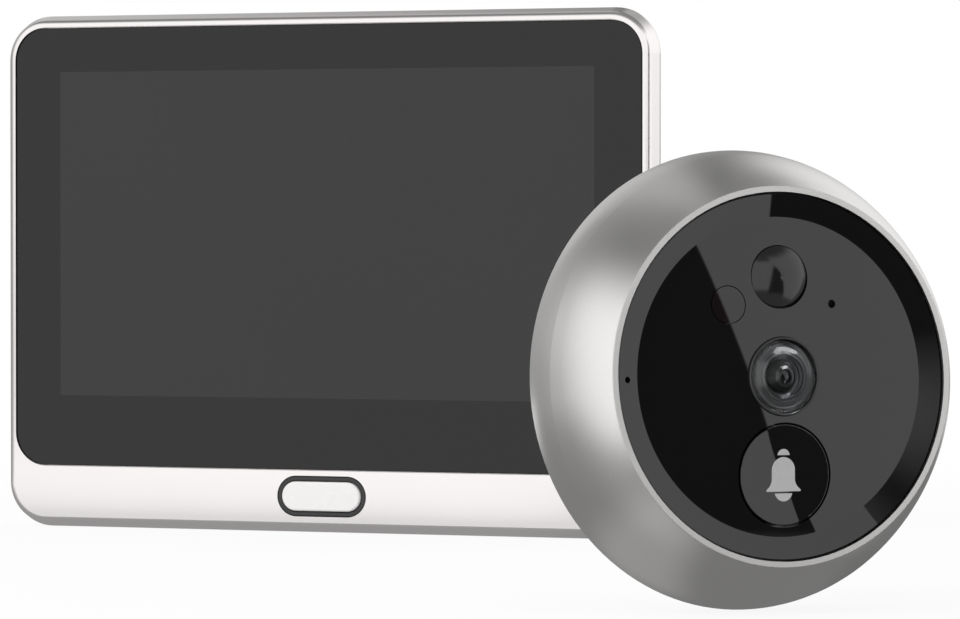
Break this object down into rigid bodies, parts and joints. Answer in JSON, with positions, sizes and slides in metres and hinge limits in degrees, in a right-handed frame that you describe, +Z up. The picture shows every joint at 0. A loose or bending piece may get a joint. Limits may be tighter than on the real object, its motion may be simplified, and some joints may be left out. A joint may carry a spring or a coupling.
{
  "type": "door camera",
  "caption": "Door camera: indoor monitor with a wide screen and a button, and a round outdoor camera with a lens, motion sensor and bell button on a stem.",
  "frame": {"origin": "middle of the pair's footprint, on the surface that both units stand on", "axes": "+X to the right as seen from the monitor's front, -Y out of the monitor's front, +Z up"},
  "size_m": [0.2002, 0.1758, 0.0853],
  "materials": {
    "frame_finish": "warm white, satin",
    "cover_plastic": "fine spark-eroded grain",
    "cover_glass": "clear glass over a dark grey print",
    "screen_layer": "unlit screen",
    "backlight_tray": "plain",
    "stamped_steel": "galvanised",
    "foam_black": "closed-cell foam",
    "tape_black": "adhesive tape",
    "button_white": "polished",
    "ring_black": "polished",
    "board_green": "solder mask",
    "socket_black": "moulded",
    "socket_steel": "tinned",
    "battery_wrap": "foil pouch",
    "antenna_film": "flexible film",
    "screw_steel": "zinc plated",
    "speaker_black": "moulded",
    "housing_metal": "satin silver lacquer on cast metal",
    "panel_black": "piano black",
    "bell_black": "piano black",
    "bell_mark": "light grey",
    "lens_clear": "coated",
    "lens_metal": "black anodised",
    "sensor_chip": "bare chip",
    "dark_window": "dark tinted",
    "lamp_clear": "epoxy",
    "seal_rubber": "soft",
    "chassis_plastic": "moulded",
    "plate_plastic": "fine grain",
    "stem_plastic": "moulded",
    "insert_brass": "knurled"
  },
  "bodies": {
    "housings": {"monitor_front_frame": "frame_finish", "screen_gasket": "tape_black", "screen_glass": "cover_glass", "screen_panel": "screen_layer", "screen_backlight": "backlight_tray", "screen_carrier": "stamped_steel", "carrier_screws": "screw_steel", "monitor_button_ring": "ring_black", "monitor_button_switch": "socket_black", "monitor_button_board": "board_green", "monitor_microphone": "socket_steel", "monitor_main_board": "board_green", "main_board_screws": "screw_steel", "processor_shield": "socket_steel", "battery_pack": "battery_wrap", "wifi_antenna": "antenna_film", "camera_cable_socket": "socket_black", "charge_socket": "socket_steel", "card_socket": "socket_steel", "power_switch_body": "socket_steel", "monitor_speaker": "speaker_black", "monitor_speaker_gasket": "foam_black", "monitor_rear_cover": "cover_plastic", "rear_cover_screws": "screw_steel", "camera_housing": "housing_metal", "camera_front_panel": "panel_black", "front_panel_seal": "seal_rubber", "lens_ring": "ring_black", "lens_cover": "lens_clear", "lens_barrel": "lens_metal", "lens_front_element": "lens_clear", "lens_rear_element": "lens_clear", "image_sensor": "sensor_chip", "motion_sensor_lens": "dark_window", "motion_sensor_sleeve": "chassis_plastic", "motion_sensor": "socket_steel", "light_window": "dark_window", "infrared_lamp": "lamp_clear", "camera_microphone": "socket_steel", "bell_switch": "socket_steel", "bell_seal": "seal_rubber", "camera_chassis": "chassis_plastic", "camera_board": "board_green", "camera_board_screws": "screw_steel", "camera_speaker": "speaker_black", "camera_back_plate": "plate_plastic", "back_plate_screws": "screw_steel", "door_foam_pad": "foam_black", "door_stem": "stem_plastic", "stem_thread_inserts": "insert_brass", "cable_grommet": "seal_rubber"},
    "monitor_key": {"monitor_button": "button_white", "monitor_button_pin": "socket_black"},
    "bell_key": {"bell_button": "bell_black", "bell_symbol": "bell_mark", "bell_switch_pin": "socket_black"},
    "power_slider": {"power_switch_slider": "socket_black"}
  },
  "joints": [
    {"name": "monitor_button_press", "type": "slide", "parent": "housings", "child": "monitor_key", "axis": [0, 1, 0], "range_m": [0, 0.0005], "stiffness_N_per_m": 2500},
    {"name": "bell_button_press", "type": "slide", "parent": "housings", "child": "bell_key", "axis": [-0.7312, 0.6795, -0.061], "range_m": [0, 0.0005], "stiffness_N_per_m": 2500},
    {"name": "power_switch_slide", "type": "slide", "parent": "housings", "child": "power_slider", "axis": [0, 0, 1], "range_m": [0, 0.002]}
  ]
}
